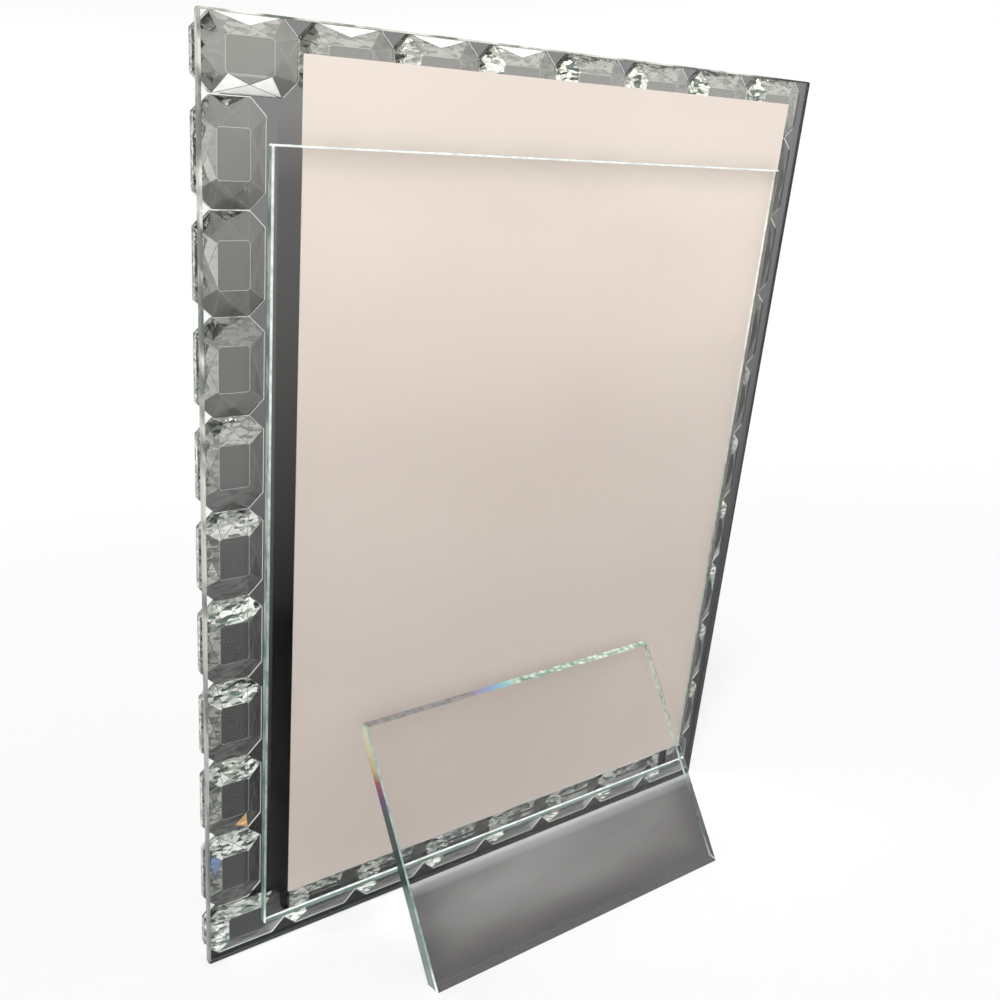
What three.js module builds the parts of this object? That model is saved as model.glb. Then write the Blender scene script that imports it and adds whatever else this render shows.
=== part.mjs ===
// Glass picture frame bordered with faceted crystals, in millimetres, +Z up.
// The front of the frame faces -Y, and its stand and rear pane face +Y.
// The origin lies on the table, under the middle of the frame's bounding box.

import * as THREE from 'three';
import { ConvexGeometry } from 'three/addons/geometries/ConvexGeometry.js';

// How the frame stands
const leanDegrees = 14;             // how far the front plate leans back from upright
const standSpreadDegrees = 37;      // angle between the rear pane and the stand

// Crystals: octagons cut on both sides, with an upright girdle between two sloping crowns.
// The flat table of the back crown is glued to the plate, and the front crown has the same table.
const crystalLength = 27;
const crystalWidth = 18.5;
const crystalCornerCut = 4.2;
const crystalBackCrown = 1.9;
const crystalGirdle = 2;
const crystalFrontCrown = 2.7;
const crystalTableLength = 12.7;
const crystalTableWidth = 8.8;
const crystalTableCornerCut = 0.6;
const crystalBackApexHeight = 1.4;  // facet apex in the middle of each side, out from the girdle
const crystalFrontApexHeight = 2;
const crystalSideApexInset = 2.6;   // in from a long side
const crystalEndApexInset = 3.4;    // in from a short side
const crystalsAcross = 8;
const crystalsDownEachSide = 9;
const crystalSeam = 0.3;            // clear glue between neighbouring crystals
const borderMargin = 0.3;           // glass left showing outside the crystals

// Glass
const glueFilm = 0.3;               // clear glue between a glass face and what it holds
const plateThickness = 3;
const plateArris = 0.5;             // small ground bevel along every edge
const paneWidth = 187;
const paneHeight = 240;
const paneThickness = 3;
const paneArris = 0.5;
const paneBottomHeight = 14.5;      // up the plate, from its bottom edge
const photoGap = 3.5;               // between the plate and the pane

// Clear spacer bar that holds the pane off the plate and carries the photo
const spacerHeight = 6.4;
const spacerEndInset = 8;           // from each side of the pane

// Photo sheet
const sheetWidth = 180;
const sheetHeight = 254;
const sheetThickness = 0.3;
const sheetSideShift = 6;           // the sheet stands off-centre, towards -X
const sheetBottomClearance = 0.3;
const sheetPaneClearance = 0.4;     // the sheet leans back towards the pane

// Stand
const standWidth = 122;
const standThickness = 5;
const standTopHeight = 80.5;        // up the plate, from its bottom edge
const standTopLedge = 3;            // flat ground on the stand's top end
const standArris = 0.5;

const lean = THREE.MathUtils.degToRad(leanDegrees);
const spread = THREE.MathUtils.degToRad(standSpreadDegrees);

const crystalPitchLong = crystalLength + crystalSeam;
const crystalPitchShort = crystalWidth + crystalSeam;
const plateWidth = crystalsAcross * crystalPitchLong - crystalSeam + 2 * borderMargin;
const plateHeight = crystalsDownEachSide * crystalPitchLong + 2 * crystalPitchShort
  - crystalSeam + 2 * borderMargin;

const glass = new THREE.MeshStandardMaterial({
  color: 0xa9aeab, roughness: 0.03, metalness: 0, transparent: true, opacity: 0.35,
});
const paneGlass = new THREE.MeshStandardMaterial({
  color: 0xdfe8e4, roughness: 0.03, metalness: 0, transparent: true, opacity: 0.3,
});
const crystalGlass = new THREE.MeshStandardMaterial({
  color: 0xb9bab5, roughness: 0.01, metalness: 0, transparent: true, opacity: 0.5,
});
const clearAcrylic = new THREE.MeshStandardMaterial({
  color: 0xe4e8e6, roughness: 0.1, metalness: 0, transparent: true, opacity: 0.4,
});
const photoPaper = new THREE.MeshStandardMaterial({
  color: 0xf0e4da, roughness: 0.6, metalness: 0,
});

// The frame's own axes, before it leans back: X across, Z up the plate and Y towards the back.
// The plate's back face is Y = 0, its bottom edge is Z = 0 and its middle is X = 0.

// A flat sheet of glass whose edges and corners all have a small ground bevel
function arrisedSheet(width, height, thickness, arris) {
  const points = [];
  for (const sx of [-1, 1]) {
    for (const sy of [-1, 1]) {
      for (const sz of [-1, 1]) {
        const x = sx * width / 2;
        const y = sy * thickness / 2;
        const z = sz * height / 2;
        points.push(new THREE.Vector3(x, y - sy * arris, z - sz * arris));
        points.push(new THREE.Vector3(x - sx * arris, y, z - sz * arris));
        points.push(new THREE.Vector3(x - sx * arris, y - sy * arris, z));
      }
    }
  }
  return new ConvexGeometry(points);
}

// The eight corners of a rectangle with its corners cut, at one depth
function octagon(length, width, cut, y) {
  const x = length / 2;
  const z = width / 2;
  const corners = [];
  for (const [sx, sz] of [[1, 1], [-1, 1], [-1, -1], [1, -1]]) {
    corners.push(new THREE.Vector3(sx * (x - cut), y, sz * z));
    corners.push(new THREE.Vector3(sx * x, y, sz * (z - cut)));
  }
  return corners;
}

// One crystal with its long side across, its back table at Y = 0 and its front table towards -Y.
// A facet apex stands out of the slope of each side, so that the slope breaks into triangles.
function crystalGeometry() {
  const girdleBackY = -crystalBackCrown;
  const girdleFrontY = girdleBackY - crystalGirdle;
  const apexX = crystalLength / 2 - crystalEndApexInset;
  const apexZ = crystalWidth / 2 - crystalSideApexInset;
  const corners = [];
  for (const y of [girdleBackY + crystalBackApexHeight, girdleFrontY - crystalFrontApexHeight]) {
    corners.push(new THREE.Vector3(apexX, y, 0));
    corners.push(new THREE.Vector3(-apexX, y, 0));
    corners.push(new THREE.Vector3(0, y, apexZ));
    corners.push(new THREE.Vector3(0, y, -apexZ));
  }
  for (const y of [girdleBackY, girdleFrontY]) {
    corners.push(...octagon(crystalLength, crystalWidth, crystalCornerCut, y));
  }
  for (const y of [0, girdleFrontY - crystalFrontCrown]) {
    corners.push(...octagon(crystalTableLength, crystalTableWidth, crystalTableCornerCut, y));
  }
  return new ConvexGeometry(corners);
}

const leaning = new THREE.Group();

function place(name, geometry, material, x, y, z) {
  const mesh = new THREE.Mesh(geometry, material);
  mesh.name = name;
  mesh.position.set(x, y, z);
  leaning.add(mesh);
  return mesh;
}

// Front plate, which stands on its bottom edge
place('front_plate', arrisedSheet(plateWidth, plateHeight, plateThickness, plateArris), glass,
  0, -plateThickness / 2, plateHeight / 2);

// Crystals round the border of the plate's front face.
// Left and right are as seen from the front, so left is towards -X.
const crystalShape = crystalGeometry();
const crystalBackY = -plateThickness - glueFilm;
const firstRowX = -plateWidth / 2 + borderMargin + crystalLength / 2;
const bottomRowZ = borderMargin + crystalWidth / 2;
const topRowZ = plateHeight - bottomRowZ;
for (let i = 0; i < crystalsAcross; i += 1) {
  const x = firstRowX + i * crystalPitchLong;
  place(`crystal_top_${i + 1}`, crystalShape, crystalGlass, x, crystalBackY, topRowZ);
  place(`crystal_bottom_${i + 1}`, crystalShape, crystalGlass, x, crystalBackY, bottomRowZ);
}
const columnX = plateWidth / 2 - borderMargin - crystalWidth / 2;
const firstColumnZ = borderMargin + crystalPitchShort + crystalLength / 2;
for (let i = 0; i < crystalsDownEachSide; i += 1) {
  const z = firstColumnZ + (crystalsDownEachSide - 1 - i) * crystalPitchLong;
  const left = place(`crystal_left_${i + 1}`, crystalShape, crystalGlass, -columnX, crystalBackY, z);
  const right = place(`crystal_right_${i + 1}`, crystalShape, crystalGlass, columnX, crystalBackY, z);
  left.rotation.y = Math.PI / 2;
  right.rotation.y = Math.PI / 2;
}

// Rear pane, parallel to the plate
const paneMiddleY = photoGap + paneThickness / 2;
place('back_pane', arrisedSheet(paneWidth, paneHeight, paneThickness, paneArris), paneGlass,
  0, paneMiddleY, paneBottomHeight + paneHeight / 2);

// Spacer bar, glued between the plate and the foot of the pane
const spacerWidth = paneWidth - 2 * spacerEndInset;
const spacerThickness = photoGap - 2 * glueFilm;
const spacerBottomHeight = paneBottomHeight + paneArris;
place('spacer_bar', new THREE.BoxGeometry(spacerWidth, spacerThickness, spacerHeight), clearAcrylic,
  0, photoGap / 2, spacerBottomHeight + spacerHeight / 2);

// Photo sheet, which stands on the spacer bar and slides out upwards
const sheetBottomHeight = spacerBottomHeight + spacerHeight + sheetBottomClearance;
place('photo_sheet', new THREE.BoxGeometry(sheetWidth, sheetThickness, sheetHeight), photoPaper,
  -sheetSideShift, photoGap - sheetPaneClearance - sheetThickness / 2,
  sheetBottomHeight + sheetHeight / 2);

// Stand: one slab glued by its mitred top end to the back of the pane.
// Its section is drawn across the frame, with u towards the back and v up the plate.
function standSection() {
  const along = new THREE.Vector2(Math.sin(spread), -Math.cos(spread));
  const inward = new THREE.Vector2(-Math.cos(spread), -Math.sin(spread));
  const tableUp = new THREE.Vector2(-Math.sin(lean), Math.cos(lean));
  const seatU = photoGap + paneThickness + glueFilm;
  const ledgeInner = new THREE.Vector2(seatU, standTopHeight);
  const ledgeOuter = new THREE.Vector2(seatU + standTopLedge, standTopHeight);

  // The table's height is that of the plate's lowest edge
  const plateLowest = new THREE.Vector2(-plateArris, 0);
  const tableHeight = tableUp.dot(plateLowest);
  const downToTable = (start) => {
    const distance = (tableHeight - tableUp.dot(start)) / tableUp.dot(along);
    return start.clone().addScaledVector(along, distance);
  };

  const underside = ledgeOuter.clone().addScaledVector(inward, standThickness);
  const backToPane = (seatU - underside.x) / along.x;
  const seatLower = underside.clone().addScaledVector(along, backToPane);
  return [ledgeInner, ledgeOuter, downToTable(ledgeOuter), downToTable(seatLower), seatLower];
}

// The section is extruded along the frame's width, with its side edges bevelled
const standGeometry = new THREE.ExtrudeGeometry(new THREE.Shape(standSection()), {
  depth: standWidth - 2 * standArris,
  bevelEnabled: true,
  bevelThickness: standArris,
  bevelSize: standArris,
  bevelOffset: -standArris,
  bevelSegments: 1,
});
// The section's u, v and depth become Y, Z and X
standGeometry.translate(0, 0, -(standWidth / 2 - standArris));
standGeometry.applyMatrix4(new THREE.Matrix4().makeBasis(
  new THREE.Vector3(0, 1, 0),
  new THREE.Vector3(0, 0, 1),
  new THREE.Vector3(1, 0, 0),
));
place('stand', standGeometry, paneGlass, 0, 0, 0);

// Lean the frame back, then set it on the table over the origin
leaning.rotation.x = -lean;
const frame = new THREE.Group();
frame.add(leaning);
frame.updateMatrixWorld(true);
const bounds = new THREE.Box3().setFromObject(frame, true);
const middle = bounds.getCenter(new THREE.Vector3());
leaning.position.set(-middle.x, -middle.y, -bounds.min.z);
frame.updateMatrixWorld(true);

export default frame;
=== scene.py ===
# %% [markdown]
# # A glass picture frame with a crystal border
# The frame is a clear plate bordered with faceted crystals, a second pane behind it that holds
# a sheet of photo paper, and a sloping glass stand. The solids come from the imported model, so
# this script adds what the eye needs: ground edges, facets that catch light, painted shade in the
# glass where the room behind it is dark, painted sparkle and split light, a floor, a lamp and a
# camera. Everything is in metres, with Z up.

# %% Load the imported frame
import math
import random

import bmesh
import bpy
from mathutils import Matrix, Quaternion, Vector


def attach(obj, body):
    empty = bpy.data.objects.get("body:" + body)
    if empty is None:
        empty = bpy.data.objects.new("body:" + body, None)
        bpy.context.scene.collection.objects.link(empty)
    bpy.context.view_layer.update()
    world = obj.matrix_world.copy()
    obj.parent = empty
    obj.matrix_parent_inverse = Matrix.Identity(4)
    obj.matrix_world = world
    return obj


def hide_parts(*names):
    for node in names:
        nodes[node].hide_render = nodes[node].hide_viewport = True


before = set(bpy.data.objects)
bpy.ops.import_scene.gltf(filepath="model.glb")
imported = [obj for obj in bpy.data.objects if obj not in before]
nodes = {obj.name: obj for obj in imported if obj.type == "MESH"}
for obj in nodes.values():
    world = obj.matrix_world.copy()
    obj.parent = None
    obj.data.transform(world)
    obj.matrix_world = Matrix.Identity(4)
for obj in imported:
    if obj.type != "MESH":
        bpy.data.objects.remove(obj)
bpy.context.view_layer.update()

# %% [markdown]
# ## Placing shader nodes
# A shader is a drawing of boxes and wires. It could be drawn by hand, but written down it can be
# read and repeated. `add` places a box, named without the ShaderNode that all kinds start with, and
# fills its inputs: a plain value is typed in, and a socket is wired.

# %% Place a node
MM = 0.001


def fill(tree, socket, value):
    """Type a plain value into a socket, or wire another socket to it."""
    if isinstance(value, bpy.types.NodeSocket):
        tree.links.new(value, socket)
    else:
        socket.default_value = value


def add(tree, kind, inputs=None, **settings):
    """Place a node, set its properties, then fill its inputs by name or number."""
    node = tree.nodes.new("ShaderNode" + kind)
    for name, value in settings.items():
        setattr(node, name, value)
    for name, value in (inputs or {}).items():
        fill(tree, node.inputs[name], value)
    return node


def here_on(tree):
    """The point of the surface, in metres."""
    return add(tree, "TexCoord").outputs["Object"]


def spot_on(tree):
    """The same point as three outputs, X, Y and Z."""
    return add(tree, "SeparateXYZ", {0: here_on(tree)}).outputs


def paint(surface, value, socket="Base Color"):
    """Give a shader a colour or a value, typed in or wired."""
    fill(surface.id_data, surface.inputs[socket], value)


print("helpers for", bpy.app.version_string)

# %% [markdown]
# ## Sums, mixes and ramps
# Most masks are a sum or two on a distance, and most colours come from a ramp. Short helpers keep
# each of those on one line.

# %% Sums and colours
def maths(tree, operation, a, b=0.0, c=0.0):
    """One sum on up to three values or sockets."""
    return add(tree, "Math", {0: a, 1: b, 2: c}, operation=operation).outputs[0]


def rise(tree, value, start, end, smooth=False):
    """0 where the value is at start, 1 where it is at end, and in between along the way."""
    kind = "SMOOTHSTEP" if smooth else "LINEAR"
    return add(tree, "MapRange", {"Value": value, "From Min": start, "From Max": end},
               interpolation_type=kind).outputs[0]


def mix(tree, share, a, b):
    """Colour a where share is 0, and b where it is 1."""
    node = add(tree, "Mix", data_type="RGBA")
    for socket, value in zip((node.inputs["Factor"], node.inputs[6], node.inputs[7]), (share, a, b)):
        fill(tree, socket, value)
    return node.outputs[2]


def ramp(tree, share, stops):
    """A colour ramp from a list of (place, colour)."""
    node = add(tree, "ValToRGB", {"Fac": share})
    elements = node.color_ramp.elements
    while len(elements) < len(stops):
        elements.new(0.5)
    for element, (place, colour) in zip(elements, stops):
        element.position = place
        element.color = colour
    return node.outputs["Color"]


def times(tree, colour, other):
    """Multiply a colour by another one, or by a value."""
    return add(tree, "VectorMath", {0: colour, 1: other}, operation="MULTIPLY").outputs[0]


def rgb(r, g, b):
    """A colour written in 0 to 1 linear light."""
    return (r, g, b, 1.0)


def grey(level, warmth=0.0):
    """A grey. With warmth it has a little more red than blue, and below 0 less."""
    return rgb(level, level * (1 - 0.4 * warmth), level * (1 - warmth))


print("a warm grey is", tuple(round(part, 3) for part in grey(0.5, 0.1)))

# %% [markdown]
# ## Groups that several materials share
# An effect that more than one material needs is a node group: it is built once, with named
# inputs, and placed wherever it is wanted with its own values.

# %% Make and use a group
def new_group(name, inputs, outputs):
    """An empty node group. Each input is (name, value it starts with), each output (name, kind)."""
    tree = bpy.data.node_groups.new(name, "ShaderNodeTree")
    for label, value in inputs:
        kind = "NodeSocketColor" if isinstance(value, tuple) else "NodeSocketFloat"
        socket = tree.interface.new_socket(label, in_out="INPUT", socket_type=kind)
        socket.default_value = value
    for label, kind in outputs:
        tree.interface.new_socket(label, in_out="OUTPUT", socket_type="NodeSocket" + kind)
    return tree, tree.nodes.new("NodeGroupInput").outputs, tree.nodes.new("NodeGroupOutput").inputs


def use_group(tree, group, **values):
    """Put a group in a material, with its own values on the named inputs."""
    node = add(tree, "Group", node_tree=group)
    for name, value in values.items():
        fill(tree, node.inputs[name], value)
    return node.outputs


print("groups start empty")

# %% [markdown]
# ## Where things are on the leaning plate
# The plate leans back by 14 degrees, so the height up the plate isn't the height above the table.
# A group turns a point of the surface into two distances: across the plate and up the plate.
# The glass's painted shade is laid out by them, which works on every piece, because all pieces share
# one frame.

# %% The plate's own directions
LEAN = math.radians(14)
PLATE_FOOT = Vector((0.0, -0.03063658851, -0.00012095799))
UP_PLATE = Vector((0.0, math.sin(LEAN), math.cos(LEAN)))
BACK_OFF_PLATE = Vector((0.0, math.cos(LEAN), -math.sin(LEAN)))
PLATE_HEIGHT = 283.6 * MM


def on_plate(point):
    """Distances across the plate, off its back face and up it, in metres."""
    away = Vector(point) - PLATE_FOOT
    return Vector((point[0], away.dot(BACK_OFF_PLATE), away.dot(UP_PLATE)))


def place_group():
    tree, _, result = new_group("Place on the plate", [], [("Across", "Float"), ("Up", "Float")])
    off_foot = add(tree, "VectorMath", {0: here_on(tree), 1: PLATE_FOOT}, operation="SUBTRACT")
    up = add(tree, "VectorMath", {0: off_foot.outputs[0], 1: UP_PLATE}, operation="DOT_PRODUCT")
    fill(tree, result["Across"], spot_on(tree)["X"])
    fill(tree, result["Up"], up.outputs["Value"])
    return tree


PLACE = place_group()
top_of_plate = on_plate(PLATE_FOOT + PLATE_HEIGHT * UP_PLATE)
print("the top of the plate is", round(top_of_plate.z, 4), "up the plate")

# %% [markdown]
# ## Smears left by a cleaning cloth
# A cloth leaves long faint smears that show only where light glances off them. They could be a
# painted image, but a slow noise stretched sideways does it at any size. It makes the glass a
# little rougher, and gives a mask for a trace of haze.

# %% The smear group
def noise(tree, where, scale, detail=2.0):
    """Soft random values around a point, as outputs Fac and Color."""
    return add(tree, "TexNoise", {"Vector": where, "Scale": scale, "Detail": detail}).outputs


def stretch(tree, where, scale, turn=(0.0, 0.0, 0.0)):
    """A point turned and stretched, which makes a pattern on it long."""
    return add(tree, "Mapping", {"Vector": where, "Scale": scale, "Rotation": turn}).outputs[0]


def smear_group():
    tree, given, result = new_group("Cloth smears", [("Smear", 0.03), ("Scale", 30.0)],
                                    [("Roughness", "Float"), ("Mask", "Float")])
    wiped = stretch(tree, here_on(tree), (0.5, 1.4, 1.7), (0.0, 0.5, 0.3))
    mask = rise(tree, noise(tree, wiped, given["Scale"], 4.0)["Fac"], 0.5, 0.75)
    fill(tree, result["Roughness"], maths(tree, "MULTIPLY", mask, given["Smear"]))
    fill(tree, result["Mask"], mask)
    return tree


SMEARS = smear_group()
print("smears:", len(SMEARS.nodes), "nodes")

# %% [markdown]
# ## An even grain
# Ground glass, cloudy glue, pressed stones and paper all have an even grain. Each could have a
# noise of its own, but one group with the size and the detail as inputs does it.

# %% The grain group
def grain_group():
    tree, given, result = new_group("Even grain", [("Scale", 100.0), ("Detail", 2.0)],
                                    [("Grain", "Float")])
    grains = noise(tree, here_on(tree), given["Scale"], given["Detail"])
    fill(tree, result["Grain"], grains["Fac"])
    return tree


GRAIN = grain_group()


def grain(tree, scale, detail=2.0):
    """An even grain from 0 to 1. A larger scale makes it finer."""
    return use_group(tree, GRAIN, Scale=scale, Detail=detail)["Grain"]


print("grain:", len(GRAIN.nodes), "nodes")

# %% [markdown]
# ## Light split into colours
# A thick glass edge works as a prism, and shows a short stretch of the rainbow along its length.
# Tracing real dispersion is slow and noisy, so the colours are laid along the edge by a ramp:
# 0 is red and 1 is violet.

# %% The rainbow group
SPLIT_COLOURS = [
    (0.0, rgb(0.55, 0.06, 0.08)), (0.2, rgb(0.9, 0.4, 0.08)), (0.36, rgb(0.9, 0.82, 0.4)),
    (0.52, rgb(0.3, 0.75, 0.45)), (0.68, rgb(0.12, 0.68, 0.78)), (0.84, rgb(0.08, 0.25, 0.7)),
    (1.0, rgb(0.3, 0.16, 0.5))]


def rainbow_group():
    tree, given, result = new_group("Split light", [("Along", 0.0)], [("Color", "Color")])
    fill(tree, result["Color"], ramp(tree, given["Along"], SPLIT_COLOURS))
    return tree


RAINBOW = rainbow_group()
print("colours in split light:", len(SPLIT_COLOURS))

# %% [markdown]
# ## Glass that lets lamps through
# A lamp's light passes a window, but a renderer that traces from the eye rarely finds that path.
# So each glass mixes the real shader with a see-through one for shadow rays alone, which puts the
# same light behind the pane and costs no noise. `mirror` turns the reflection down where a glued
# face has none, or where a white room would wash the painted shade out.

# %% Glass and plain finishes
def plain_finish(name):
    """A material with Blender's own shader, for what isn't glass."""
    material = bpy.data.materials.new(name)
    material.use_nodes = True
    return material, material.node_tree, material.node_tree.nodes["Principled BSDF"]


def glass(name, shade, ior=1.52, mirror=1.0, roughness=0.0, through=1.0):
    """A glass material. Whoever asks for it wires its colour, roughness and normal."""
    material, tree, _ = plain_finish(name)
    tree.nodes.clear()
    surface = add(tree, "BsdfPrincipled", {
        "Base Color": rgb(0.93, 0.94, 0.93), "Roughness": roughness, "IOR": ior,
        "Transmission Weight": through, "Specular Tint": grey(mirror)})
    clear = add(tree, "BsdfTransparent", {"Color": shade})
    path = add(tree, "LightPath")
    both = add(tree, "MixShader", {0: path.outputs["Is Shadow Ray"], 1: surface.outputs[0],
                                   2: clear.outputs[0]})
    add(tree, "OutputMaterial", {"Surface": both.outputs[0]})
    return material, tree, surface


print("glass is mixed with a see-through shader for shadow rays")

# %% [markdown]
# ## How a stone's facets differ
# Each stone is an octagon of pressed glass, cut on both sides, and glued to the plate by its back
# table. In a real stone every facet shows another part of the room, so one is dark and its
# neighbour bright. A mirror-like room full of dark and light things would do that too, but would
# change with each view, so light and shade are painted on the facet itself as a tone, mostly on the
# back ones: painted shade where the room is dark, painted sparkle where it is bright. The sparkle is
# painted where, seen from the back and above, the low stones sparkle at their upper end, and the far
# ones at their near end.

# %% Facet tones
BACK_CROWN = 1.9 * MM
GIRDLE = 2.0 * MM
STONE_DEPTH = 6.6 * MM
ON_A_PLANE = 0.1 * MM
GIRDLE_TILT = 0.2
END_DIRECTION = 0.6
# Where the painted sparkle at the ends starts and where it is full, across and up the plate
SPARKLE_ACROSS = (100 * MM, 20 * MM)
SPARKLE_UP = (215 * MM, 120 * MM)


def end_sparkle(name, middle):
    """How much painted sparkle a stone's near end has, from 0 at the first stones to 1 at the last ones.
    """
    if "bottom" in name:
        return 1.0
    place, (starts, full) = (middle.x, SPARKLE_ACROSS) if "top" in name else (middle.z, SPARKLE_UP)
    return min(max((starts - place) / (starts - full), 0.0), 1.0)


print("a stone is", round(STONE_DEPTH / MM, 1), "mm deep, with its girdle",
      round(BACK_CROWN / MM, 1), "mm off the glue")

# %% [markdown]
# ## The tone of a facet
# A tone is two numbers: the painted shade, and the share of painted splinters of light. Which it is
# depends on the side of the stone that the facet is on. Where the eye sees many facets at once a
# little chance keeps them apart.

# %% Tones by place
TOP_UPPER_SIDE = (0.7, 0.35)
BOTTOM_LOWER_SIDE = (0.95, 0.1)
BOTTOM_UPPER_SIDE = (0.1, 1.0)
TABLE_TONE = (1.0, 0.0)
GIRDLE_TONE = (0.0, 0.35)
# Behind the pane the ends of the bottom stones get more painted light, or they wouldn't show
BEHIND_PANE = 80 * MM
PANE_GLOW = 1.7


def side_tones(name, outer, sparkle, dice):
    """Painted shade and painted splinters of light of a facet on a long side of a stone."""
    if "top" in name:
        if name == "crystal_top_8" and outer < 0:
            return 0.3 + 0.5 * dice.random(), 0.0
        if outer > 0:
            return TOP_UPPER_SIDE
        return 1.0 + 0.2 * dice.random(), 0.0
    if "bottom" in name:
        return BOTTOM_LOWER_SIDE if outer > 0 else BOTTOM_UPPER_SIDE
    if outer > 0 and "right" in name:
        return 0.3 + 0.5 * dice.random(), 0.1 + sparkle * (0.2 + 0.4 * dice.random())
    return 1.05 + 0.15 * dice.random(), 0.0


def facet_tones(name, normal, depth, middle, dice):
    """How much painted shade and painted splinters of light a facet has, by where it is on its stone."""
    off = normal.dot(BACK_OFF_PLATE)
    if min(depth, STONE_DEPTH - depth) < ON_A_PLANE:
        return TABLE_TONE
    if abs(off) < GIRDLE_TILT:
        return GIRDLE_TONE
    faces = Vector((normal.x, normal.dot(UP_PLATE))).normalized()
    column = "left" in name or "right" in name
    along = faces.y if column else faces.x
    sparkle = end_sparkle(name, middle)
    if along > END_DIRECTION:
        glow = PANE_GLOW if "bottom" in name and abs(middle.x) < BEHIND_PANE else 1.0
        return 1.0 - sparkle * (0.94 + 0.06 * dice.random()), sparkle * glow
    if along < -END_DIRECTION:
        return 1.0 + 0.2 * dice.random(), 0.15 * sparkle
    outward = -1.0 if middle.x < 0 and column or "bottom" in name else 1.0
    return side_tones(name, outward * (faces.x if column else faces.y), sparkle, dice)


print("the table's tone is", TABLE_TONE, "and the girdle's", GIRDLE_TONE)

# %% [markdown]
# ## Split light in a few facets
# Now and then a facet throws one pure colour, which is painted here as split light. Each entry names
# the stone, the direction in which the facet faces on the plate (across, up), and the colour's place
# along the rainbow.

# %% Coloured facets
FLATTEST_SLOPE = 0.99
STEEPEST_SLOPE = 0.3
FIRE_SPLINTERS = 0.2
FIRES = {
    "crystal_right_8": ((-0.35, -0.94), 0.17), "crystal_right_9": ((0.94, 0.35), 0.86),
    "crystal_left_3": ((0.35, 0.94), 0.3), "crystal_left_7": ((-0.94, 0.35), 0.62),
    "crystal_bottom_3": ((0.94, -0.35), 0.05),
}


def fire_facet(mesh, name):
    """The facet of the back crown that faces most in the given direction, if the stone has one."""
    if name not in FIRES:
        return None
    slopes = [facet for facet in mesh.faces
              if STEEPEST_SLOPE < facet.normal.dot(BACK_OFF_PLATE) < FLATTEST_SLOPE]
    along = Vector(FIRES[name][0])
    return max(slopes, key=lambda facet: Vector((facet.normal.x, facet.normal.dot(UP_PLATE)))
               .normalized().dot(along))


print("coloured facets:", len(FIRES))

# %% [markdown]
# ## Facets that flash white
# Along the top of the frame the steep triangle of each stone turns the light of the window straight
# at the eye, and looks white. So does the whole lower side of the corner stone. Tracing it needs the
# whole room, so these few facets get a bright finish of their own: a painted highlight.

# %% Flashing facets
STEEP = 0.885
ALL_SLOPES = 0.97
LONG_SIDE = 0.3
FLASH_DIRECTIONS = {
    "crystal_top_8": (1.0, -1.0), "crystal_top_7": (1.0,), "crystal_top_6": (1.0,),
    "crystal_top_5": (1.0,), "crystal_right_1": (-1.0,),
}


def flashes(name, facet):
    """Whether a facet of the back crown is one of those that flash."""
    off, up = facet.normal.dot(BACK_OFF_PLATE), facet.normal.dot(UP_PLATE)
    flattest = ALL_SLOPES if name == "crystal_top_8" and up < 0 else STEEP
    if not GIRDLE_TILT < off < flattest or abs(up) < LONG_SIDE:
        return False
    return any(up * way > 0 for way in FLASH_DIRECTIONS.get(name, ()))


print("stones with a white flash:", len(FLASH_DIRECTIONS))

# %% [markdown]
# ## The fine lines between facets
# No edge of a cut stone is knife sharp: polishing rounds it, and it shows as a thin line that is
# lighter than the facets beside it. A bevel modifier could round the edges, but `bmesh` gives back
# the new faces, so that each line gets a tone of its own: less painted shade than its facets, which
# paints it as a highlight. The outline of the back table and the girdle's edge show clearly, and the
# ridges of the crown only just.

# %% Edge lines
EDGE_WIDTH = 0.08 * MM
TABLE_LINE = 0.3
GIRDLE_LINE = 0.0
UPRIGHT_LINE = 0.3
RIDGE_LINE = 0.8


def line_painted_shade(depth):
    """The painted shade of an edge line, by how deep it lies in the stone, counted from the glue."""
    if depth < ON_A_PLANE:
        return TABLE_LINE
    if abs(depth - BACK_CROWN) < ON_A_PLANE:
        return GIRDLE_LINE
    upright = BACK_CROWN < depth < BACK_CROWN + GIRDLE - ON_A_PLANE
    return UPRIGHT_LINE if upright else RIDGE_LINE


print("edge lines are", EDGE_WIDTH / MM, "mm wide")

# %% [markdown]
# ## Cutting the stones
# Each stone is a copy of its solid from the imported model, so it sits exactly where the solid does.
# The triangles are joined into whole facets first, then the edges are bevelled. The back facets
# carry most of the painted shade, so that their pattern stays crisp. The far column, with left in its
# names, has a darker room behind it and takes more painted shade. A stone rides on the frame, in
# place of its solid.

# %% Cut one stone
SHADED_SIDE = 0.8
BACK_WEIGHT = 1.7
FRONT_WEIGHT = 2.0 - BACK_WEIGHT
FLAT_ON_PLATE = 0.999
GLUED_TABLE, BACK_SLOPES, OPEN_SIDE, WHITE_FLASH = range(4)


def surface_of(facet, flashing):
    """Which finish a face takes: glued table, back slopes, the open side or a white flash."""
    off = facet.normal.dot(BACK_OFF_PLATE)
    if flashing:
        return WHITE_FLASH
    if off > FLAT_ON_PLATE:
        return GLUED_TABLE
    return BACK_SLOPES if off > GIRDLE_TILT else OPEN_SIDE


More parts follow.
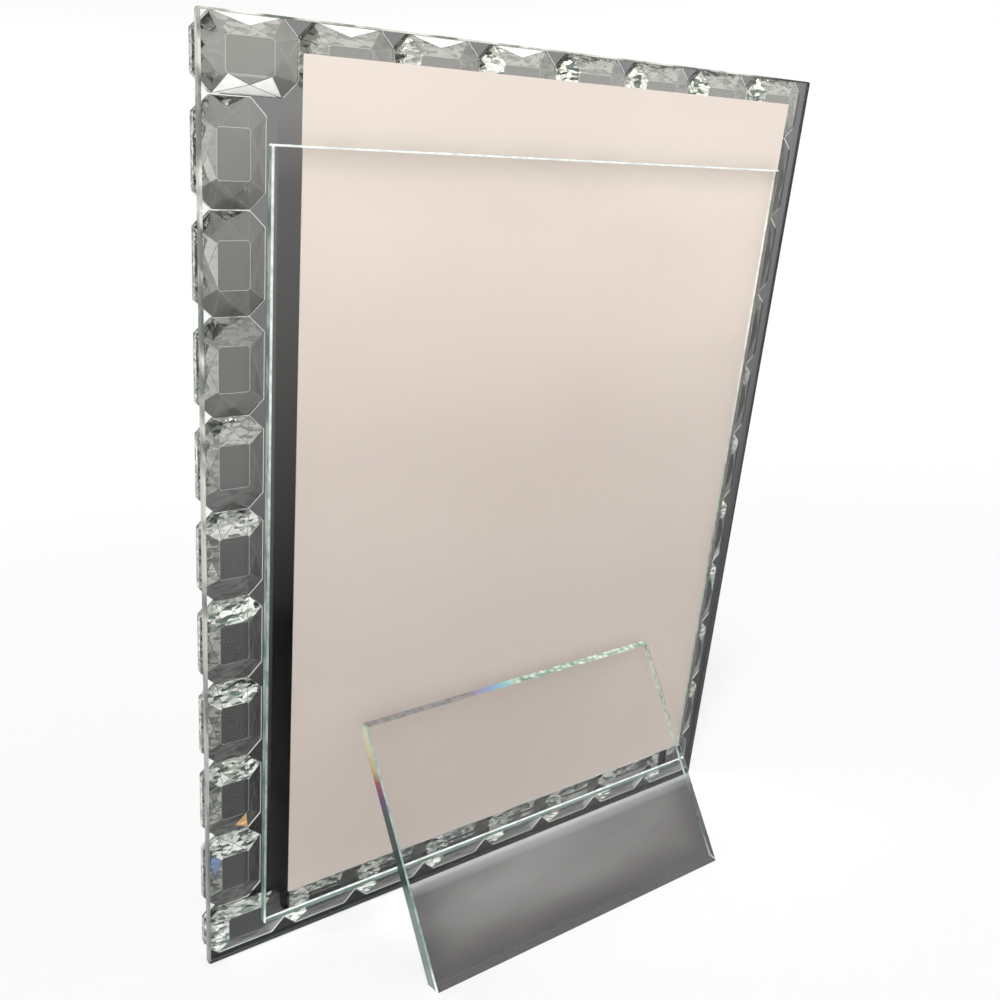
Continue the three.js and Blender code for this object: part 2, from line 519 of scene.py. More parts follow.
def cut_stone(name, dice):
    """A bevelled copy of one crystal, with a painted tone of light and shade on each facet."""
    mesh = bmesh.new()
    mesh.from_mesh(nodes[name].data)
    bmesh.ops.remove_doubles(mesh, verts=mesh.verts, dist=0.01 * MM)
    bmesh.ops.dissolve_limit(mesh, angle_limit=math.radians(1), verts=mesh.verts, edges=mesh.edges)
    mesh.normal_update()
    glued = max(on_plate(v.co).y for v in mesh.verts)
    middle = on_plate(sum((v.co for v in mesh.verts), Vector()) / len(mesh.verts))
    # Each facet gets painted shade, a share of painted splinters of light, and on a few painted split
    # light
    smoke, splinter, fire = [mesh.faces.layers.float.new(label)
                             for label in ("smoke", "splinter", "fire")]
    flash = mesh.faces.layers.int.new("flash")
    shade = SHADED_SIDE if "left" in name else 0.0
    for facet in mesh.faces:
        depth = glued - on_plate(facet.calc_center_median()).y
        facet[smoke], facet[splinter] = facet_tones(name, facet.normal, depth, middle, dice)
        if facet.normal.dot(BACK_OFF_PLATE) < -GIRDLE_TILT:
            facet[splinter] = 0.0
        facet[flash] = flashes(name, facet)
    coloured = fire_facet(mesh, name)
    # On a few stones one facet gets painted split light
    if coloured:
        coloured[smoke], coloured[splinter], coloured[fire] = 0.0, FIRE_SPLINTERS, FIRES[name][1]
    made = bmesh.ops.bevel(mesh, geom=list(mesh.edges), offset=EDGE_WIDTH, offset_type="OFFSET",
                           segments=1, profile=0.5, affect="EDGES", clamp_overlap=True)
    # Each edge line gets its own painted shade, mostly less than its facets': a painted highlight
    for line in made["faces"]:
        line[flash] = 0
        line[smoke] = line_painted_shade(glued - on_plate(line.calc_center_median()).y) + shade
        line[splinter] = line[fire] = 0.0
    for facet in mesh.faces:
        facet.material_index = surface_of(facet, facet[flash])
        weight = FRONT_WEIGHT if facet.material_index == OPEN_SIDE else BACK_WEIGHT
        facet[smoke] *= (1.0 + shade) * weight
    data = bpy.data.meshes.new("stone_" + name)
    mesh.to_mesh(data)
    mesh.free()
    return data


def new_object(name, data):
    """An object in the scene that holds the data."""
    made = bpy.data.objects.new(name, data)
    bpy.context.scene.collection.objects.link(made)
    return made


def place_stone(name, data):
    """Put a stone where its solid is, and let it ride with the frame."""
    stone = new_object("stone" + name[len("crystal"):], data)
    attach(stone, "frame")
    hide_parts(name)
    return stone


dice = random.Random(7)
stones = [place_stone(name, cut_stone(name, dice)) for name in sorted(nodes) if "crystal_" in name]
print(len(stones), "stones,", len(stones[0].data.polygons), "faces each")

# %% [markdown]
# ## Splinters of light
# Where a stone sparkles it breaks up into splinters of cream, white and bottle green: painted light.
# They could be modelled as facets, but a stretched cell pattern, bent by a noise, gives as many as are
# wanted. Each cell also tilts the surface its own way, so that the splinters refract apart.

# %% Splinters
SPLINTER_SCALE = 620.0
SPLINTER_TILT = 0.5
SPLINTER_BEND = 1.2 * MM


def splinters(tree, here):
    """A painted colour for each splinter of light inside a stone, and the way it tilts the surface."""
    bend = noise(tree, here, 300.0)["Color"]
    bent = add(tree, "VectorMath", {0: bend, 1: (SPLINTER_BEND,) * 3, 2: here},
               operation="MULTIPLY_ADD").outputs[0]
    long_way = stretch(tree, bent, (0.7, 1.0, 1.9), (0.5, 0.7, 0.4))
    cells = add(tree, "TexVoronoi", {"Vector": long_way, "Scale": SPLINTER_SCALE}).outputs["Color"]
    cell = add(tree, "SeparateColor", {0: cells}).outputs[0]
    colour = ramp(tree, cell, [(0.0, rgb(0.01, 0.015, 0.012)), (0.22, rgb(0.07, 0.11, 0.09)),
                               (0.36, rgb(0.4, 0.45, 0.38)), (0.5, rgb(0.95, 0.96, 0.9)),
                               (0.84, rgb(0.98, 0.97, 0.88)), (1.0, rgb(0.12, 0.2, 0.16))])
    way = add(tree, "VectorMath", {0: cells, 1: (0.5, 0.5, 0.5)}, operation="SUBTRACT")
    return colour, way.outputs[0]


print("splinters are about", round(1000 / SPLINTER_SCALE, 1), "mm wide")

# %% [markdown]
# ## The light inside a stone
# Through the back one looks into grey glass that gets darker down the frame: painted shade for the
# dark room seen through the stones. The facet's tone is a power of that painted shade: 1 is the full
# shade of the table, and 0 is clear. Light is dimmed once at each face it passes, by the root of the
# colour. The splinters pass on light that has been round the stone many times, which is slow to
# trace, so they glow a little, as painted light. All faces of a stone need this, so it is a group
# that takes the facet's tones.

# %% The crystal light group
# Painted shade: what the table of a stone lets through, from the foot of the frame to its top
PAINTED_SHADE_UP_THE_FRAME = [(0.0, 0.05), (0.115, 0.055), (0.212, 0.055), (0.404, 0.083), (0.5, 0.12),
                      (0.6, 0.18), (0.79, 0.235), (0.886, 0.3), (0.966, 0.39)]
TINT_UP_THE_FRAME = [(0.0, -0.04), (0.45, 0.0), (1.0, 0.08)]
CLEAR_STONE = rgb(0.95, 0.955, 0.94)
NO_FIRE = 0.01
GLOW_IN_PAINTED_SHADE = 0.15


def crystal_light_group():
    tree, given, result = new_group("Crystal light", [("Smoke", 1.0), ("Splinter", 0.0), ("Fire", 0.0)],
                                    [("Color", "Color"), ("Glow", "Color"), ("Normal", "Vector")])
    height = rise(tree, use_group(tree, PLACE)["Up"], 0.0, PLATE_HEIGHT)
    table = ramp(tree, height, [(up, grey(through)) for up, through in PAINTED_SHADE_UP_THE_FRAME])
    painted_shade_tone = maths(tree, "POWER", table, given["Smoke"])
    tint = ramp(tree, height, [(up, grey(1.0, warmth)) for up, warmth in TINT_UP_THE_FRAME])
    colour, way = splinters(tree, here_on(tree))
    light = mix(tree, given["Splinter"], CLEAR_STONE, colour)
    fire = use_group(tree, RAINBOW, Along=given["Fire"])["Color"]
    on_fire = maths(tree, "GREATER_THAN", given["Fire"], NO_FIRE)
    coloured = mix(tree, on_fire, light, times(tree, light, fire))
    fill(tree, result["Color"], times(tree, times(tree, coloured, painted_shade_tone), tint))
    plain = maths(tree, "LESS_THAN", given["Fire"], NO_FIRE)
    glowing = maths(tree, "MULTIPLY", maths(tree, "MULTIPLY", given["Splinter"], plain),
                    maths(tree, "POWER", table, GLOW_IN_PAINTED_SHADE))
    fill(tree, result["Glow"], times(tree, colour, glowing))
    facing = add(tree, "NewGeometry").outputs["Normal"]
    tilt = times(tree, way, maths(tree, "MULTIPLY", given["Splinter"], SPLINTER_TILT))
    tilted = add(tree, "VectorMath", {0: facing, 1: tilt}, operation="ADD").outputs[0]
    fill(tree, result["Normal"], add(tree, "VectorMath", {0: tilted}, operation="NORMALIZE").outputs[0])
    return tree


CRYSTAL_LIGHT = crystal_light_group()
print("light inside a stone:", len(CRYSTAL_LIGHT.nodes), "nodes")

# %% [markdown]
# ## The finishes of one stone
# The glued table has almost no mirror, because glue joins it to the plate, while the slopes and
# the open side reflect as cut glass does. The white flashes are a fourth, plain finish: a painted
# highlight, which glows a little too and has the faint unevenness of pressed glass.

# %% Crystal glass
CRYSTAL_IOR = 1.53
SPLINTER_GLOW = 0.5
FLASH_GLOW = 0.35


def crystal_finish(name, mirror):
    material, tree, surface = glass(name, rgb(0.75, 0.77, 0.75), ior=CRYSTAL_IOR, mirror=mirror)
    tones = {label: add(tree, "Attribute", attribute_name=label.lower()).outputs["Fac"]
             for label in ("Smoke", "Splinter", "Fire")}
    light = use_group(tree, CRYSTAL_LIGHT, **tones)
    paint(surface, light["Color"])
    # The splinters' painted light also glows
    paint(surface, light["Glow"], "Emission Color")
    paint(surface, light["Normal"], "Normal")
    paint(surface, SPLINTER_GLOW, "Emission Strength")
    return material


def painted_flash_finish():
    material, tree, surface = plain_finish("crystal_flash")
    # A painted highlight: pale white with a grain, given as colour and as glow
    white = ramp(tree, grain(tree, 260.0, 3.0), [(0.3, rgb(0.75, 0.77, 0.72)),
                                                 (0.46, rgb(0.96, 0.96, 0.93))])
    paint(surface, white)
    paint(surface, white, "Emission Color")
    paint(surface, FLASH_GLOW, "Emission Strength")
    paint(surface, 0.12, "Roughness")
    return material


for stone_finish in (crystal_finish("crystal_glued_table", 0.3), crystal_finish("crystal_back", 0.6),
                     crystal_finish("crystal_glass", 0.9), painted_flash_finish()):
    for stone in stones:
        stone.data.materials.append(stone_finish)
print("finishes on each stone:", [material.name for material in stones[0].data.materials])

# %% [markdown]
# ## Where the stones sit on the plate
# Between the stones the plate carries painted shade for the dark room behind, and under a stone
# only the stone's own painted shade counts. A mask of octagons keeps the two apart. It could be an
# image, but two wrapped distances give it at any size: one along the border, which repeats with each
# stone, and one across it. The girdles stand off the plate, so the octagons are stretched and shifted
# a little to meet them from behind. Along the outer edge that faces the photographer the border is
# clear all the way. Along the far one the octagons end early, or the eye would see past the stones
# through their clear rim.

# %% The seat mask
SEAT_HALF_LENGTH = 13.65 * MM
SEAT_HALF_WIDTH = 8.95 * MM
SEAT_CORNER_CUT = 4.35 * MM
STONE_PITCH = 27.3 * MM
FIRST_IN_ROW = -95.55 * MM
FIRST_IN_COLUMN = 32.75 * MM
COLUMN_ACROSS = 99.8 * MM
ROW_OFF_MIDDLE = 132.25 * MM
ROWS_START = 122.9 * MM
STRETCH_ACROSS = 1.008
SHIFT_ACROSS = -1.4 * MM
STRETCH_UP = 1.0063
SHIFT_UP = -1.72 * MM
OUTER_SIDE = 103 * MM
FAR_SIDE = -107.7 * MM
CLEAR_RIM_UP = (18 * MM, 22 * MM)
OCTAGON_SOFT = 0.2 * MM
RIM_SOFT = 0.3 * MM
SOFT = 0.25 * MM


def past(tree, value, line, soft=SOFT):
    """A soft step: 0 before a line and 1 past it. A negative softness turns it round."""
    return rise(tree, value, line - soft, line + soft)


def outside_octagon(tree, along, beside):
    """How far a point is outside a stone's octagon, negative inside it."""
    corner = SEAT_HALF_LENGTH + SEAT_HALF_WIDTH - SEAT_CORNER_CUT
    past_cut = maths(tree, "SUBTRACT", maths(tree, "ADD", along, beside), corner)
    straight = maths(tree, "MAXIMUM", maths(tree, "SUBTRACT", along, SEAT_HALF_LENGTH),
                     maths(tree, "SUBTRACT", beside, SEAT_HALF_WIDTH))
    return maths(tree, "MAXIMUM", straight, maths(tree, "MULTIPLY", past_cut, math.sqrt(0.5)))


def off_stone_middle(tree, value, first):
    """The distance from the middle of the nearest stone in a run of them."""
    away = maths(tree, "SUBTRACT", value, first)
    return maths(tree, "ABSOLUTE", maths(tree, "WRAP", away, STONE_PITCH / 2, -STONE_PITCH / 2))


def seat_group():
    """1 on the plate where a stone is glued and along one outer edge, and 0 between the stones."""
    tree, given, result = new_group("Crystal seats", [("Across", 0.0), ("Up", 0.0)], [("Seat", "Float")])
    across = maths(tree, "MULTIPLY_ADD", given["Across"], STRETCH_ACROSS, SHIFT_ACROSS)
    up = maths(tree, "MULTIPLY_ADD", given["Up"], STRETCH_UP, SHIFT_UP)
    side = maths(tree, "ABSOLUTE", across)
    off_middle = maths(tree, "ABSOLUTE", maths(tree, "SUBTRACT", up, PLATE_HEIGHT / 2))
    beside_column = maths(tree, "ABSOLUTE", maths(tree, "SUBTRACT", side, COLUMN_ACROSS))
    beside_row = maths(tree, "ABSOLUTE", maths(tree, "SUBTRACT", off_middle, ROW_OFF_MIDDLE))
    column = outside_octagon(tree, off_stone_middle(tree, up, FIRST_IN_COLUMN), beside_column)
    row = outside_octagon(tree, off_stone_middle(tree, across, FIRST_IN_ROW), beside_row)
    in_row = maths(tree, "GREATER_THAN", off_middle, ROWS_START)
    outside = add(tree, "Mix", {"Factor": in_row, "A": column, "B": row}).outputs[0]
    seat = maths(tree, "MULTIPLY", past(tree, outside, 0.0, -OCTAGON_SOFT),
                 past(tree, across, FAR_SIDE, RIM_SOFT))
    clear = maths(tree, "MULTIPLY", past(tree, across, OUTER_SIDE, RIM_SOFT),
                  rise(tree, up, *CLEAR_RIM_UP))
    fill(tree, result["Seat"], maths(tree, "MAXIMUM", seat, clear))
    return tree


SEATS = seat_group()
print("stones repeat every", round(STONE_PITCH / MM, 1), "mm")

# %% [markdown]
# ## Faces, edges and arrises
# A glazier cuts the glass, polishes its edges, and takes the sharp corners off with a stone, which
# leaves a narrow matt arris. Each needs its own finish. The faces could be picked by hand, but
# their directions tell them apart.

# %% Sort the faces of a sheet
ALONG = 0.95
SQUARE = 0.9
BACK, FRONT, EDGE, CORNER = range(4)


def sheet_slot(normal):
    """Which finish a face of a sheet takes, by the way it faces."""
    off = normal.dot(BACK_OFF_PLATE)
    if abs(off) > ALONG:
        return BACK if off > 0 else FRONT
    return EDGE if max(abs(normal.x), abs(normal.dot(UP_PLATE))) > SQUARE else CORNER


def dress(name, *finishes, slot_of=lambda normal: 0):
    """Put finishes on a piece, and pick one for each of its faces."""
    data = nodes[name].data
    data.materials.clear()
    for finish in finishes:
        data.materials.append(finish)
    for polygon in data.polygons:
        polygon.material_index = slot_of(polygon.normal)


def smear_over(tree, surface, clean, haze, share=0.2):
    """Wire a clean colour and a trace of smeared haze to a glass."""
    smears = use_group(tree, SMEARS, Scale=22.0)
    colour = mix(tree, maths(tree, "MULTIPLY", smears["Mask"], share), clean, haze)
    paint(surface, colour)
    paint(surface, smears["Roughness"], "Roughness")


print("sheets to dress: front_plate and back_pane")

# %% [markdown]
# ## Polished edges
# Seen end on, an edge gathers light from deep inside the sheet, so it looks pale and a little green,
# with darker patches where the light finds another way out. That sheen is painted: a noise gives the
# patches, because polishing leaves no pattern, and a group lets both sheets share it. It also paints
# shade, dimmer low down and dark where the edge is turned away.

# %% Edge finishes
EDGE_DIMS_DOWN = (200 * MM, 20 * MM)
EDGE_FAR_SIDE = (-85 * MM, -92 * MM)
EDGE_UNDERNEATH = (1.6 * MM, 0.8 * MM)
LOW_DIMMING = 0.8


def edge_sheen_group():
    """A painted pale sheen in long patches, with painted shade low down and where the edge is turned
    away.
    """
    tree, given, result = new_group("Edge sheen", [("Dark", grey(0.2)), ("Light", grey(0.8)),
                                                   ("Scale", 130.0)], [("Color", "Color")])
    patches = noise(tree, stretch(tree, here_on(tree), (0.6, 1.0, 0.6)), given["Scale"], 5.0)["Fac"]
    sheen = mix(tree, rise(tree, patches, 0.42, 0.58), given["Dark"], given["Light"])
    place = use_group(tree, PLACE)
    # Painted shade low down and where the edge is turned away
    low = rise(tree, place["Up"], *EDGE_DIMS_DOWN)
    dimmed = mix(tree, maths(tree, "MULTIPLY", low, LOW_DIMMING), sheen, given["Dark"])
    turned_away = maths(tree, "MAXIMUM", rise(tree, place["Across"], *EDGE_FAR_SIDE),
                        rise(tree, place["Up"], *EDGE_UNDERNEATH))
    fill(tree, result["Color"], mix(tree, turned_away, dimmed, rgb(0.03, 0.035, 0.03)))
    return tree


EDGE_SHEEN = edge_sheen_group()


def edge_finish(name, dark, light, scale):
    """A polished glass edge: mostly painted sheen, with a look into the glass."""
    material, tree, surface = glass(name, rgb(0.8, 0.83, 0.81), mirror=0.6, roughness=0.2, through=0.3)
    paint(surface, use_group(tree, EDGE_SHEEN, Dark=dark, Light=light, Scale=scale)["Color"])
    return material


plate_edge = edge_finish("plate_edge", rgb(0.16, 0.19, 0.16), rgb(0.85, 0.87, 0.78), 130.0)
pane_edge = edge_finish("pane_edge", rgb(0.16, 0.25, 0.22), rgb(0.5, 0.58, 0.54), 200.0)
print("edge finishes:", plate_edge.name, "and", pane_edge.name)

# %% [markdown]
# ## Matt arrises
# A ground arris takes light as frost does. Near the top of the frame and at its foot it is painted
# bright, and between them painted dim for the dark room.

# %% Arris finish
ARRIS_BRIGHT_TOP = (110 * MM, 215 * MM)
ARRIS_BRIGHT_FOOT = (22 * MM, 16 * MM)


def arris_finish():
    material, tree, surface = glass("ground_arris", rgb(0.85, 0.87, 0.86), mirror=0.6, roughness=0.4,
                                    through=0.15)
    grains = grain(tree, 500.0, 4.0)
    bright = ramp(tree, grains, [(0.35, rgb(0.62, 0.68, 0.65)), (0.6, rgb(0.93, 0.95, 0.94))])
    dim = ramp(tree, grains, [(0.35, rgb(0.16, 0.24, 0.22)), (0.6, rgb(0.36, 0.46, 0.43))])
    up = use_group(tree, PLACE)["Up"]
    # Painted light near the top and the foot, painted shade between them
    ends = maths(tree, "MAXIMUM", rise(tree, up, *ARRIS_BRIGHT_TOP, smooth=True),
                 rise(tree, up, *ARRIS_BRIGHT_FOOT))
    paint(surface, mix(tree, ends, dim, bright))
    return material


arris = arris_finish()
print("arrises are dressed with", arris.name)

# %% [markdown]
# ## The plate
# The plate is clear float glass. Behind its border the real frame shows dark surroundings, dim at
# the top and nearly black at the foot, so its front face carries that darkness as painted shade: one
# ramp near the stones, darker along the far side, and one beside the photo. The window in the middle
# stays clear.

# %% Plate finishes
# Half the width, the bottom and the top of the window, and of the space inside the stones
WINDOW = (78.5 * MM, 21.8 * MM, 272.3 * MM)
INSIDE_STONES = (88.5 * MM, 20.5 * MM, 262.5 * MM)
FAR_SIDE_SHADE = 0.33
CLEAR_FACE = rgb(0.94, 0.95, 0.94)
# Painted shade: what the glass lets through, from the foot of the plate to its top
BESIDE_PHOTO = [(0.0, 0.018), (0.2, 0.012), (0.42, 0.007), (0.5, 0.045), (0.62, 0.08), (0.86, 0.145),
                (0.93, 0.25), (1.0, 0.26)]
BETWEEN_STONES = [(0.0, 0.02), (0.15, 0.025), (0.35, 0.055), (0.5, 0.11), (0.6, 0.15), (0.75, 0.19),
                  (0.95, 0.25)]


def one_face(through):
    """The colour for one face of a glass whose other face is clear."""
    return through ** 2 / CLEAR_FACE[0]


def outside_box(tree, place, half_width, bottom, top):
    """0 inside a box on the plate, and 1 outside it."""
    ends = maths(tree, "MAXIMUM", past(tree, place["Up"], top), past(tree, place["Up"], bottom, -SOFT))
    side = maths(tree, "ABSOLUTE", place["Across"])
    return maths(tree, "MAXIMUM", past(tree, side, half_width), ends)


def smoky_border():
    material, tree, surface = glass("smoky_border", rgb(0.85, 0.87, 0.85), mirror=0.03)
    place = use_group(tree, PLACE)
    height = rise(tree, place["Up"], 0.0, PLATE_HEIGHT)
    beside = ramp(tree, height, [(up, grey(one_face(t), 0.08)) for up, t in BESIDE_PHOTO])
    between = ramp(tree, height, [(up, grey(one_face(t), 0.02)) for up, t in BETWEEN_STONES])
    # Painted shade for the dark room behind the border, darker along the far side; the seats stay clear
    smoke = mix(tree, outside_box(tree, place, *INSIDE_STONES), beside, between)
    far_side = past(tree, place["Across"], -INSIDE_STONES[0], -SOFT)
    shaded = maths(tree, "MULTIPLY", far_side, FAR_SIDE_SHADE)
    seat = use_group(tree, SEATS, Across=place["Across"], Up=place["Up"])["Seat"]
    border = mix(tree, seat, mix(tree, shaded, smoke, grey(0.0)), CLEAR_FACE)
    paint(surface, mix(tree, outside_box(tree, place, *WINDOW), CLEAR_FACE, border))
    return material


plate_back, back_tree, back_surface = glass("plate_glass", rgb(0.9, 0.92, 0.9), mirror=0.03)
smear_over(back_tree, back_surface, CLEAR_FACE, rgb(0.88, 0.89, 0.88))
dress("front_plate", plate_back, smoky_border(), plate_edge, plate_edge, slot_of=sheet_slot)
print("smoke at the foot and the top of the plate:", BESIDE_PHOTO[0][1], "and", BESIDE_PHOTO[-1][1])

# %% [markdown]
# ## The pane behind the photo
# A second sheet of glass holds the photo, and carries the faint marks of a cloth. It is clear, but
# its colour paints shade on the paper, darker towards its foot. Picture glass is coated against
# reflections. The coating could be a thin film, but a low index of refraction on the two faces takes
# the mirror image of the floor away just as well.

# %% Pane finish
COATED_IOR = 1.15
PANE_BOTTOM_UP = 30 * MM
PANE_TOP_UP = 250 * MM
# Painted shade on the paper: what the pane lets through, from its foot to its top
PANE_PAINTED_SHADE = [(0.0, 0.665), (0.14, 0.68), (0.34, 0.68), (0.61, 0.735), (0.77, 0.8), (1.0, 0.875)]


def pane_finish():
    material, tree, surface = glass("pane_glass", rgb(0.97, 0.975, 0.97), ior=COATED_IOR, mirror=0.06)
    # The pane's colour paints shade on the paper, darker towards its foot
    height = rise(tree, use_group(tree, PLACE)["Up"], PANE_BOTTOM_UP, PANE_TOP_UP)
    clean = ramp(tree, height, [(up, grey(t, 0.01)) for up, t in PANE_PAINTED_SHADE])
    smear_over(tree, surface, clean, rgb(0.72, 0.72, 0.73))
    return material


pane = pane_finish()
dress("back_pane", pane, pane, pane_edge, arris, slot_of=sheet_slot)
print("the pane lets", PANE_PAINTED_SHADE[0][1], "through at its foot and", PANE_PAINTED_SHADE[-1][1], "at its top")

# %% [markdown]
# ## The stand
# The stand is one thick slab, glued by its mitred top to the pane. Near the table one sees the dark
# room under the frame through it, so its lower part carries painted shade, darker at its sides and at
# the table. Its top ledge and one side edge are prisms, painted with split light: the ledge turns from
# grey to violet, blue, green and then white painted sparkles, and the side edge from yellow through
# red to bottle green. The other side edge is turned away, and stays clear. The mitred seat is glued,
# so light passes it as if it weren't there.

# %% The stand's clear faces
FOOT_PAINTED_SHADE = (31 * MM, 26 * MM)
DARK_SIDES = (46 * MM, 60 * MM)
DARK_AT_TABLE = (12 * MM, 2 * MM)


def stand_face():
    material, tree, surface = glass("stand_glass", grey(0.97), mirror=0.15)
    spot = spot_on(tree)
    # Painted shade near the table, darker at the sides and at the table
    foot = rise(tree, spot["Z"], *FOOT_PAINTED_SHADE)
    to_side = rise(tree, maths(tree, "ABSOLUTE", spot["X"]), *DARK_SIDES, smooth=True)
    to_table = rise(tree, spot["Z"], *DARK_AT_TABLE, smooth=True)
    rim = maths(tree, "MAXIMUM", to_side, to_table)
    smoke = mix(tree, rim, grey(0.175, 0.03), grey(0.125, 0.03))
    smear_over(tree, surface, mix(tree, foot, grey(0.98), smoke), grey(0.9), share=0.1)
    return material


def clear_glue():
    """The seat is glued, so it neither bends nor mirrors light. Glue is a little cloudy."""
    material, tree, surface = glass("clear_glue", grey(0.95), ior=1.01, mirror=0.0)
    paint(surface, ramp(tree, grain(tree, 90.0, 3.0), [(0.3, rgb(0.97, 0.97, 0.96)),
                                                       (0.7, rgb(0.92, 0.925, 0.91))]))
    return material


def stand_foot():
    """The foot is ground flat, and takes no polish."""
    material, tree, surface = glass("ground_foot", grey(0.4), mirror=0.3, roughness=0.5, through=0.3)
    paint(surface, ramp(tree, grain(tree, 700.0, 3.0), [(0.35, rgb(0.03, 0.035, 0.03)),
                                                        (0.65, rgb(0.1, 0.11, 0.1))]))
    return material


print("smoke in the stand starts", round(FOOT_PAINTED_SHADE[0] / MM), "mm above the table")

# %% [markdown]
# ## The stand's prisms
# A ramp along each edge holds its painted split light. The ledge's colours lie across the stand, and
# the side's up it, stirred by a grain. Cells give the ledge its painted sparkle where the colours end.

# %% Ledge and side
COLOURS_ACROSS = (-2 * MM, 19 * MM)
GREY_BEGINS = (16 * MM, 21 * MM)
SPARKLE_BEGINS = (6 * MM, 1 * MM)
FIRST_COLOUR = 0.47
COLOUR_SPAN = 0.55
SIDE_HEIGHT = 80 * MM
SIDE_WOBBLE = 6 * MM


def stand_ledge():
    material, tree, surface = glass("stand_ledge", grey(0.9), mirror=0.8, roughness=0.15, through=0.3)
    across = spot_on(tree)["X"]
    to_left = rise(tree, across, *COLOURS_ACROSS)
    along = maths(tree, "MULTIPLY_ADD", to_left, COLOUR_SPAN, FIRST_COLOUR)
    # Painted split light across the ledge, then painted sparkle
    split = use_group(tree, RAINBOW, Along=along)["Color"]
    rainbow = mix(tree, 0.45, split, rgb(0.42, 0.46, 0.44))
    cell = add(tree, "TexVoronoi", {"Vector": here_on(tree), "Scale": 450.0}).outputs["Distance"]
    sparkle = ramp(tree, cell, [(0.15, rgb(0.95, 1.0, 0.93)), (0.45, rgb(0.5, 0.68, 0.55)),
                                (0.8, rgb(0.2, 0.32, 0.27))])
    plain = ramp(tree, cell, [(0.2, grey(0.2)), (0.7, grey(0.3))])
    left_part = mix(tree, rise(tree, across, *GREY_BEGINS), rainbow, plain)
    paint(surface, mix(tree, rise(tree, across, *SPARKLE_BEGINS), left_part, sparkle))
    return material


def stand_side():
    material, tree, surface = glass("stand_side", rgb(0.8, 0.84, 0.82), mirror=0.6, roughness=0.1,
                                    through=0.25)
    wobble = maths(tree, "SUBTRACT", grain(tree, 220.0), 0.5)
    height = maths(tree, "MULTIPLY_ADD", wobble, SIDE_WOBBLE, spot_on(tree)["Z"])
    # Painted split light up the side edge
    colour = ramp(tree, rise(tree, height, 0.0, SIDE_HEIGHT), [
        (0.28, rgb(0.2, 0.28, 0.25)), (0.36, rgb(0.05, 0.09, 0.07)), (0.6, rgb(0.06, 0.1, 0.09)),
        (0.67, rgb(0.14, 0.08, 0.2)), (0.73, rgb(0.42, 0.12, 0.12)), (0.78, rgb(0.62, 0.5, 0.3)),
        (0.86, rgb(0.8, 0.78, 0.52)), (1.0, rgb(0.8, 0.84, 0.74))])
    paint(surface, colour)
    return material


print("the ledge turns to colour", round(GREY_BEGINS[0] / MM), "mm off its middle")

# %% [markdown]
# ## Dressing the stand
# The stand is sloped and mitred, so its faces are told apart by more directions than a sheet's.

# %% Dress the stand
FACE, LEDGE, SIDE, ARRIS, FOOT, SEAT = range(6)
LEVEL = 0.99
SLANTED = 0.1


def stand_slot(normal):
    """Which finish of the stand a face takes, by the way it faces."""
    if normal.x > SQUARE:
        return SIDE
    if normal.z < -LEVEL:
        return FOOT
    if normal.dot(BACK_OFF_PLATE) < -ALONG:
        return SEAT
    if normal.x < -SQUARE:
        return FACE
    if abs(normal.x) > SLANTED:
        return ARRIS
    return LEDGE if normal.dot(UP_PLATE) > ALONG else FACE


dress("stand", stand_face(), stand_ledge(), stand_side(), arris, stand_foot(), clear_glue(),
      slot_of=stand_slot)
print("the stand has", len(nodes["stand"].data.materials), "finishes")

# %% [markdown]
# ## The spacer bar
# A clear acrylic bar between the plate and the foot of the pane carries the photo. It is polished,
# because the stones show through it, but acrylic is softer than glass and picks up fine scratches.
# Its two faces are glued, so they hardly bend or mirror light, and a low index gives that too. Its
# two ends, beyond the sheet, are painted near black: painted shade for the dark room.

# %% Spacer finish
SHEET_SIDE = 83.5 * MM


def spacer_finish():
    material, tree, surface = glass("clear_acrylic", grey(0.9), ior=COATED_IOR, mirror=0.1)
    scratches = use_group(tree, SMEARS, Scale=60.0)
    dulled = mix(tree, scratches["Mask"], grey(0.93), rgb(0.85, 0.86, 0.86))
    beyond_sheet = past(tree, maths(tree, "ABSOLUTE", use_group(tree, PLACE)["Across"]), SHEET_SIDE)
    # Painted shade beyond the sheet, for the dark room
    paint(surface, mix(tree, beyond_sheet, dulled, grey(0.01)))
    paint(surface, scratches["Roughness"], "Roughness")
    return material


dress("spacer_bar", spacer_finish())
print("the bar is dark beyond", round(SHEET_SIDE / MM, 1), "mm off its middle")

# %% [markdown]
# ## The photo sheet
# A blank sheet of photo paper with a faint lustre. Its warm white has slow, hardly visible
# changes, and its surface a very fine pebble grain. A print could lie there as an image, but the
# frame is sold empty.

# %% Photo paper
def photo_paper():
    material, tree, surface = plain_finish("photo_paper")
    paint(surface, ramp(tree, grain(tree, 9.0), [(0.3, rgb(0.80, 0.70, 0.63)),
                                                 (0.7, rgb(0.86, 0.76, 0.69))]))
    pebbles = add(tree, "Bump", {"Strength": 0.05, "Distance": 0.1 * MM, "Height": grain(tree, 2600.0)})
    paint(surface, pebbles.outputs[0], "Normal")
    paint(surface, 0.45, "Roughness")
    paint(surface, 0.3, "Specular IOR Level")
    return material


dress("photo_sheet", photo_paper())
print("the sheet is blank")

# %% [markdown]
# ## The floor
# The floor is a wide pale disc. Near the frame it is a real surface that takes the shadow, and
# far off it turns into plain white, so that no horizon shows.

# %% Floor
FLOOR_RADIUS = 3.0
TURNS_WHITE = (0.35, 1.2)
LEAST_WHITE = 0.3


def seen_directly(tree):
    """1 for what the camera sees straight, in a reflection or through glass."""
    path = add(tree, "LightPath").outputs
    mirrored = maths(tree, "MAXIMUM", path["Is Glossy Ray"], path["Is Transmission Ray"])
    return maths(tree, "MAXIMUM", path["Is Camera Ray"], mirrored)


